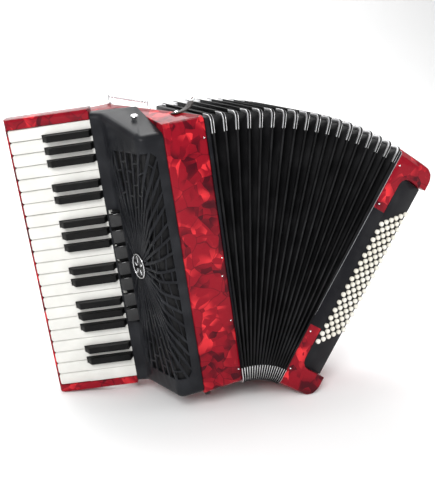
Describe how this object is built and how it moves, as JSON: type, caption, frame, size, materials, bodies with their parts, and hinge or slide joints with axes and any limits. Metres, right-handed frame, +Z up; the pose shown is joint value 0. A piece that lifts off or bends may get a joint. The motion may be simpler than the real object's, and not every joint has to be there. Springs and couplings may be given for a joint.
{
  "type": "piano accordion",
  "caption": "Piano accordion with a piano keyboard and register tabs under the right hand, chord buttons under the left, and bellows fanned open between them.",
  "frame": {"origin": "centre of the bounding box at its base, on the surface the instrument stands on", "axes": "+Z up, +X towards the bass side, +Y towards the player; it stands fanned open on the outer lower corners of the keyboard and the bass casing"},
  "size_m": [0.652, 0.1976, 0.472],
  "materials": {
    "red_celluloid": "polished red pearl celluloid over wood",
    "black_grille": "satin black moulding",
    "register_tabs": "satin black",
    "bellows_cloth": "black cloth over card",
    "white_keys": "polished off-white",
    "black_keys": "satin black",
    "bass_buttons": "cream buttons on a black board",
    "steel": "ground steel rod",
    "chrome": "bright plate",
    "reed_wood": "bare wood",
    "strap_leather": "dark brown leather"
  },
  "bodies": {
    "treble": {"treble_casing": "red_celluloid", "keyboard_bed": "red_celluloid", "key_axle": "steel", "treble_grille": "black_grille", "treble_reed_block": "reed_wood", "shoulder_strap_bracket": "chrome"},
    "bellows_1": {"bellows_section_1": "bellows_cloth"},
    "bellows_2": {"bellows_section_2": "bellows_cloth"},
    "bellows_3": {"bellows_section_3": "bellows_cloth"},
    "bellows_4": {"bellows_section_4": "bellows_cloth"},
    "bellows_5": {"bellows_section_5": "bellows_cloth"},
    "bass": {"bass_casing": "red_celluloid", "bass_button_board": "bass_buttons", "hand_strap": "strap_leather", "bellows_section_6": "bellows_cloth"},
    "strap_wheel": {"strap_wheel": "chrome"},
    "white_key_01": {"white_key_01": "white_keys"},
    "white_key_02": {"white_key_02": "white_keys"},
    "white_key_03": {"white_key_03": "white_keys"},
    "white_key_04": {"white_key_04": "white_keys"},
    "white_key_05": {"white_key_05": "white_keys"},
    "white_key_06": {"white_key_06": "white_keys"},
    "white_key_07": {"white_key_07": "white_keys"},
    "white_key_08": {"white_key_08": "white_keys"},
    "white_key_09": {"white_key_09": "white_keys"},
    "white_key_10": {"white_key_10": "white_keys"},
    "white_key_11": {"white_key_11": "white_keys"},
    "white_key_12": {"white_key_12": "white_keys"},
    "white_key_13": {"white_key_13": "white_keys"},
    "white_key_14": {"white_key_14": "white_keys"},
    "white_key_15": {"white_key_15": "white_keys"},
    "white_key_16": {"white_key_16": "white_keys"},
    "white_key_17": {"white_key_17": "white_keys"},
    "white_key_18": {"white_key_18": "white_keys"},
    "white_key_19": {"white_key_19": "white_keys"},
    "white_key_20": {"white_key_20": "white_keys"},
    "white_key_21": {"white_key_21": "white_keys"},
    "white_key_22": {"white_key_22": "white_keys"},
    "black_key_01": {"black_key_01": "black_keys"},
    "black_key_02": {"black_key_02": "black_keys"},
    "black_key_03": {"black_key_03": "black_keys"},
    "black_key_04": {"black_key_04": "black_keys"},
    "black_key_05": {"black_key_05": "black_keys"},
    "black_key_06": {"black_key_06": "black_keys"},
    "black_key_07": {"black_key_07": "black_keys"},
    "black_key_08": {"black_key_08": "black_keys"},
    "black_key_09": {"black_key_09": "black_keys"},
    "black_key_10": {"black_key_10": "black_keys"},
    "black_key_11": {"black_key_11": "black_keys"},
    "black_key_12": {"black_key_12": "black_keys"},
    "black_key_13": {"black_key_13": "black_keys"},
    "black_key_14": {"black_key_14": "black_keys"},
    "black_key_15": {"black_key_15": "black_keys"},
    "register_tab_1": {"register_tab_1": "register_tabs"},
    "register_tab_2": {"register_tab_2": "register_tabs"},
    "register_tab_3": {"register_tab_3": "register_tabs"},
    "register_tab_4": {"register_tab_4": "register_tabs"},
    "register_tab_5": {"register_tab_5": "register_tabs"},
    "register_tab_6": {"register_tab_6": "register_tabs"},
    "register_tab_7": {"register_tab_7": "register_tabs"}
  },
  "joints": [
    {"name": "bellows_fold_1", "type": "hinge", "parent": "treble", "child": "bellows_1", "pos_m": [-0.00194, 0.00171, 0.04505], "axis": [0, 1, 0], "range_deg": [-6.7, 2.2], "deforming": ["bellows_section_1"]},
    {"name": "bellows_fold_2", "type": "hinge", "parent": "bellows_1", "child": "bellows_2", "pos_m": [0.00904, 0.00171, 0.04562], "axis": [0, 1, 0], "range_deg": [-6.7, 2.2], "deforming": ["bellows_section_2"]},
    {"name": "bellows_fold_3", "type": "hinge", "parent": "bellows_2", "child": "bellows_3", "pos_m": [0.02001, 0.00171, 0.04491], "axis": [0, 1, 0], "range_deg": [-6.7, 2.2], "deforming": ["bellows_section_3"]},
    {"name": "bellows_fold_4", "type": "hinge", "parent": "bellows_3", "child": "bellows_4", "pos_m": [0.03082, 0.00171, 0.04293], "axis": [0, 1, 0], "range_deg": [-6.7, 2.2], "deforming": ["bellows_section_4"]},
    {"name": "bellows_fold_5", "type": "hinge", "parent": "bellows_4", "child": "bellows_5", "pos_m": [0.04133, 0.00171, 0.03969], "axis": [0, 1, 0], "range_deg": [-6.7, 2.2], "deforming": ["bellows_section_5"]},
    {"name": "bellows_fan", "type": "hinge", "parent": "bellows_5", "child": "bass", "pos_m": [0.05139, 0.00171, 0.03526], "axis": [0, 1, 0], "range_deg": [-6.7, 2.2], "deforming": ["bellows_section_6"]},
    {"name": "strap_wheel_turn", "type": "hinge", "parent": "bass", "child": "strap_wheel", "pos_m": [0.30956, 0.03871, 0.3642], "axis": [0.5076, 0, 0.8616], "continuous": true},
    {"name": "register_tab_1_press", "type": "hinge", "parent": "treble", "child": "register_tab_1", "pos_m": [-0.16813, 0.00202, 0.29376], "axis": [0.1685, 0, -0.9857], "range_deg": [0, 7.5], "stiffness_Nm_per_rad": 0.02, "springref_deg": -28.65},
    {"name": "register_tab_2_press", "type": "hinge", "parent": "treble", "child": "register_tab_2", "pos_m": [-0.16378, 0.00202, 0.26833], "axis": [0.1685, 0, -0.9857], "range_deg": [0, 7.5], "stiffness_Nm_per_rad": 0.02, "springref_deg": -28.65},
    {"name": "register_tab_3_press", "type": "hinge", "parent": "treble", "child": "register_tab_3", "pos_m": [-0.15944, 0.00202, 0.2429], "axis": [0.1685, 0, -0.9857], "range_deg": [0, 7.5], "stiffness_Nm_per_rad": 0.02, "springref_deg": -28.65},
    {"name": "register_tab_4_press", "type": "hinge", "parent": "treble", "child": "register_tab_4", "pos_m": [-0.15509, 0.00202, 0.21747], "axis": [0.1685, 0, -0.9857], "range_deg": [0, 7.5], "stiffness_Nm_per_rad": 0.02, "springref_deg": -28.65},
    {"name": "register_tab_5_press", "type": "hinge", "parent": "treble", "child": "register_tab_5", "pos_m": [-0.15074, 0.00202, 0.19204], "axis": [0.1685, 0, -0.9857], "range_deg": [0, 7.5], "stiffness_Nm_per_rad": 0.02, "springref_deg": -28.65},
    {"name": "register_tab_6_press", "type": "hinge", "parent": "treble", "child": "register_tab_6", "pos_m": [-0.1464, 0.00202, 0.16661], "axis": [0.1685, 0, -0.9857], "range_deg": [0, 7.5], "stiffness_Nm_per_rad": 0.02, "springref_deg": -28.65},
    {"name": "register_tab_7_press", "type": "hinge", "parent": "treble", "child": "register_tab_7", "pos_m": [-0.14205, 0.00202, 0.14118], "axis": [0.1685, 0, -0.9857], "range_deg": [0, 7.5], "stiffness_Nm_per_rad": 0.02, "springref_deg": -28.65},
    {"name": "white_key_01_press", "type": "hinge", "parent": "treble", "child": "white_key_01", "pos_m": [-0.18283, 0.01536, 0.43785], "axis": [0.1685, 0, -0.9857], "range_deg": [0, 1.9], "stiffness_Nm_per_rad": 0.28, "springref_deg": -17.19},
    {"name": "white_key_02_press", "type": "hinge", "parent": "treble", "child": "white_key_02", "pos_m": [-0.17963, 0.01536, 0.41912], "axis": [0.1685, 0, -0.9857], "range_deg": [0, 1.9], "stiffness_Nm_per_rad": 0.28, "springref_deg": -17.19},
    {"name": "white_key_03_press", "type": "hinge", "parent": "treble", "child": "white_key_03", "pos_m": [-0.17643, 0.01536, 0.40039], "axis": [0.1685, 0, -0.9857], "range_deg": [0, 1.9], "stiffness_Nm_per_rad": 0.28, "springref_deg": -17.19},
    {"name": "white_key_04_press", "type": "hinge", "parent": "treble", "child": "white_key_04", "pos_m": [-0.17323, 0.01536, 0.38166], "axis": [0.1685, 0, -0.9857], "range_deg": [0, 1.9], "stiffness_Nm_per_rad": 0.28, "springref_deg": -17.19},
    {"name": "white_key_05_press", "type": "hinge", "parent": "treble", "child": "white_key_05", "pos_m": [-0.17003, 0.01536, 0.36293], "axis": [0.1685, 0, -0.9857], "range_deg": [0, 1.9], "stiffness_Nm_per_rad": 0.28, "springref_deg": -17.19},
    {"name": "white_key_06_press", "type": "hinge", "parent": "treble", "child": "white_key_06", "pos_m": [-0.16683, 0.01536, 0.3442], "axis": [0.1685, 0, -0.9857], "range_deg": [0, 1.9], "stiffness_Nm_per_rad": 0.28, "springref_deg": -17.19},
    {"name": "white_key_07_press", "type": "hinge", "parent": "treble", "child": "white_key_07", "pos_m": [-0.16363, 0.01536, 0.32548], "axis": [0.1685, 0, -0.9857], "range_deg": [0, 1.9], "stiffness_Nm_per_rad": 0.28, "springref_deg": -17.19},
    {"name": "white_key_08_press", "type": "hinge", "parent": "treble", "child": "white_key_08", "pos_m": [-0.16043, 0.01536, 0.30675], "axis": [0.1685, 0, -0.9857], "range_deg": [0, 1.9], "stiffness_Nm_per_rad": 0.28, "springref_deg": -17.19},
    {"name": "white_key_09_press", "type": "hinge", "parent": "treble", "child": "white_key_09", "pos_m": [-0.15723, 0.01536, 0.28802], "axis": [0.1685, 0, -0.9857], "range_deg": [0, 1.9], "stiffness_Nm_per_rad": 0.28, "springref_deg": -17.19},
    {"name": "white_key_10_press", "type": "hinge", "parent": "treble", "child": "white_key_10", "pos_m": [-0.15403, 0.01536, 0.26929], "axis": [0.1685, 0, -0.9857], "range_deg": [0, 1.9], "stiffness_Nm_per_rad": 0.28, "springref_deg": -17.19},
    {"name": "white_key_11_press", "type": "hinge", "parent": "treble", "child": "white_key_11", "pos_m": [-0.15083, 0.01536, 0.25056], "axis": [0.1685, 0, -0.9857], "range_deg": [0, 1.9], "stiffness_Nm_per_rad": 0.28, "springref_deg": -17.19},
    {"name": "white_key_12_press", "type": "hinge", "parent": "treble", "child": "white_key_12", "pos_m": [-0.14763, 0.01536, 0.23183], "axis": [0.1685, 0, -0.9857], "range_deg": [0, 1.9], "stiffness_Nm_per_rad": 0.28, "springref_deg": -17.19},
    {"name": "white_key_13_press", "type": "hinge", "parent": "treble", "child": "white_key_13", "pos_m": [-0.14442, 0.01536, 0.2131], "axis": [0.1685, 0, -0.9857], "range_deg": [0, 1.9], "stiffness_Nm_per_rad": 0.28, "springref_deg": -17.19},
    {"name": "white_key_14_press", "type": "hinge", "parent": "treble", "child": "white_key_14", "pos_m": [-0.14122, 0.01536, 0.19438], "axis": [0.1685, 0, -0.9857], "range_deg": [0, 1.9], "stiffness_Nm_per_rad": 0.28, "springref_deg": -17.19},
    {"name": "white_key_15_press", "type": "hinge", "parent": "treble", "child": "white_key_15", "pos_m": [-0.13802, 0.01536, 0.17565], "axis": [0.1685, 0, -0.9857], "range_deg": [0, 1.9], "stiffness_Nm_per_rad": 0.28, "springref_deg": -17.19},
    {"name": "white_key_16_press", "type": "hinge", "parent": "treble", "child": "white_key_16", "pos_m": [-0.13482, 0.01536, 0.15692], "axis": [0.1685, 0, -0.9857], "range_deg": [0, 1.9], "stiffness_Nm_per_rad": 0.28, "springref_deg": -17.19},
    {"name": "white_key_17_press", "type": "hinge", "parent": "treble", "child": "white_key_17", "pos_m": [-0.13162, 0.01536, 0.13819], "axis": [0.1685, 0, -0.9857], "range_deg": [0, 1.9], "stiffness_Nm_per_rad": 0.28, "springref_deg": -17.19},
    {"name": "white_key_18_press", "type": "hinge", "parent": "treble", "child": "white_key_18", "pos_m": [-0.12842, 0.01536, 0.11946], "axis": [0.1685, 0, -0.9857], "range_deg": [0, 1.9], "stiffness_Nm_per_rad": 0.28, "springref_deg": -17.19},
    {"name": "white_key_19_press", "type": "hinge", "parent": "treble", "child": "white_key_19", "pos_m": [-0.12522, 0.01536, 0.10074], "axis": [0.1685, 0, -0.9857], "range_deg": [0, 1.9], "stiffness_Nm_per_rad": 0.28, "springref_deg": -17.19},
    {"name": "white_key_20_press", "type": "hinge", "parent": "treble", "child": "white_key_20", "pos_m": [-0.12202, 0.01536, 0.08201], "axis": [0.1685, 0, -0.9857], "range_deg": [0, 1.9], "stiffness_Nm_per_rad": 0.28, "springref_deg": -17.19},
    {"name": "white_key_21_press", "type": "hinge", "parent": "treble", "child": "white_key_21", "pos_m": [-0.11882, 0.01536, 0.06328], "axis": [0.1685, 0, -0.9857], "range_deg": [0, 1.9], "stiffness_Nm_per_rad": 0.28, "springref_deg": -17.19},
    {"name": "white_key_22_press", "type": "hinge", "parent": "treble", "child": "white_key_22", "pos_m": [-0.11562, 0.01536, 0.04455], "axis": [0.1685, 0, -0.9857], "range_deg": [0, 1.9], "stiffness_Nm_per_rad": 0.28, "springref_deg": -17.19},
    {"name": "black_key_01_press", "type": "hinge", "parent": "treble", "child": "black_key_01", "pos_m": [-0.18123, 0.01536, 0.42848], "axis": [0.1685, 0, -0.9857], "range_deg": [0, 1.9], "stiffness_Nm_per_rad": 0.28, "springref_deg": -17.19},
    {"name": "black_key_02_press", "type": "hinge", "parent": "treble", "child": "black_key_02", "pos_m": [-0.17803, 0.01536, 0.40975], "axis": [0.1685, 0, -0.9857], "range_deg": [0, 1.9], "stiffness_Nm_per_rad": 0.28, "springref_deg": -17.19},
    {"name": "black_key_03_press", "type": "hinge", "parent": "treble", "child": "black_key_03", "pos_m": [-0.17483, 0.01536, 0.39103], "axis": [0.1685, 0, -0.9857], "range_deg": [0, 1.9], "stiffness_Nm_per_rad": 0.28, "springref_deg": -17.19},
    {"name": "black_key_04_press", "type": "hinge", "parent": "treble", "child": "black_key_04", "pos_m": [-0.16843, 0.01536, 0.35357], "axis": [0.1685, 0, -0.9857], "range_deg": [0, 1.9], "stiffness_Nm_per_rad": 0.28, "springref_deg": -17.19},
    {"name": "black_key_05_press", "type": "hinge", "parent": "treble", "child": "black_key_05", "pos_m": [-0.16523, 0.01536, 0.33484], "axis": [0.1685, 0, -0.9857], "range_deg": [0, 1.9], "stiffness_Nm_per_rad": 0.28, "springref_deg": -17.19},
    {"name": "black_key_06_press", "type": "hinge", "parent": "treble", "child": "black_key_06", "pos_m": [-0.15883, 0.01536, 0.29738], "axis": [0.1685, 0, -0.9857], "range_deg": [0, 1.9], "stiffness_Nm_per_rad": 0.28, "springref_deg": -17.19},
    {"name": "black_key_07_press", "type": "hinge", "parent": "treble", "child": "black_key_07", "pos_m": [-0.15563, 0.01536, 0.27865], "axis": [0.1685, 0, -0.9857], "range_deg": [0, 1.9], "stiffness_Nm_per_rad": 0.28, "springref_deg": -17.19},
    {"name": "black_key_08_press", "type": "hinge", "parent": "treble", "child": "black_key_08", "pos_m": [-0.15243, 0.01536, 0.25993], "axis": [0.1685, 0, -0.9857], "range_deg": [0, 1.9], "stiffness_Nm_per_rad": 0.28, "springref_deg": -17.19},
    {"name": "black_key_09_press", "type": "hinge", "parent": "treble", "child": "black_key_09", "pos_m": [-0.14602, 0.01536, 0.22247], "axis": [0.1685, 0, -0.9857], "range_deg": [0, 1.9], "stiffness_Nm_per_rad": 0.28, "springref_deg": -17.19},
    {"name": "black_key_10_press", "type": "hinge", "parent": "treble", "child": "black_key_10", "pos_m": [-0.14282, 0.01536, 0.20374], "axis": [0.1685, 0, -0.9857], "range_deg": [0, 1.9], "stiffness_Nm_per_rad": 0.28, "springref_deg": -17.19},
    {"name": "black_key_11_press", "type": "hinge", "parent": "treble", "child": "black_key_11", "pos_m": [-0.13642, 0.01536, 0.16628], "axis": [0.1685, 0, -0.9857], "range_deg": [0, 1.9], "stiffness_Nm_per_rad": 0.28, "springref_deg": -17.19},
    {"name": "black_key_12_press", "type": "hinge", "parent": "treble", "child": "black_key_12", "pos_m": [-0.13322, 0.01536, 0.14756], "axis": [0.1685, 0, -0.9857], "range_deg": [0, 1.9], "stiffness_Nm_per_rad": 0.28, "springref_deg": -17.19},
    {"name": "black_key_13_press", "type": "hinge", "parent": "treble", "child": "black_key_13", "pos_m": [-0.13002, 0.01536, 0.12883], "axis": [0.1685, 0, -0.9857], "range_deg": [0, 1.9], "stiffness_Nm_per_rad": 0.28, "springref_deg": -17.19},
    {"name": "black_key_14_press", "type": "hinge", "parent": "treble", "child": "black_key_14", "pos_m": [-0.12362, 0.01536, 0.09137], "axis": [0.1685, 0, -0.9857], "range_deg": [0, 1.9], "stiffness_Nm_per_rad": 0.28, "springref_deg": -17.19},
    {"name": "black_key_15_press", "type": "hinge", "parent": "treble", "child": "black_key_15", "pos_m": [-0.12042, 0.01536, 0.07264], "axis": [0.1685, 0, -0.9857], "range_deg": [0, 1.9], "stiffness_Nm_per_rad": 0.28, "springref_deg": -17.19}
  ],
  "couplings": [
    {"joint": "bellows_fold_1", "follows": "bellows_fan", "ratio": 1},
    {"joint": "bellows_fold_2", "follows": "bellows_fan", "ratio": 1},
    {"joint": "bellows_fold_3", "follows": "bellows_fan", "ratio": 1},
    {"joint": "bellows_fold_4", "follows": "bellows_fan", "ratio": 1},
    {"joint": "bellows_fold_5", "follows": "bellows_fan", "ratio": 1}
  ]
}
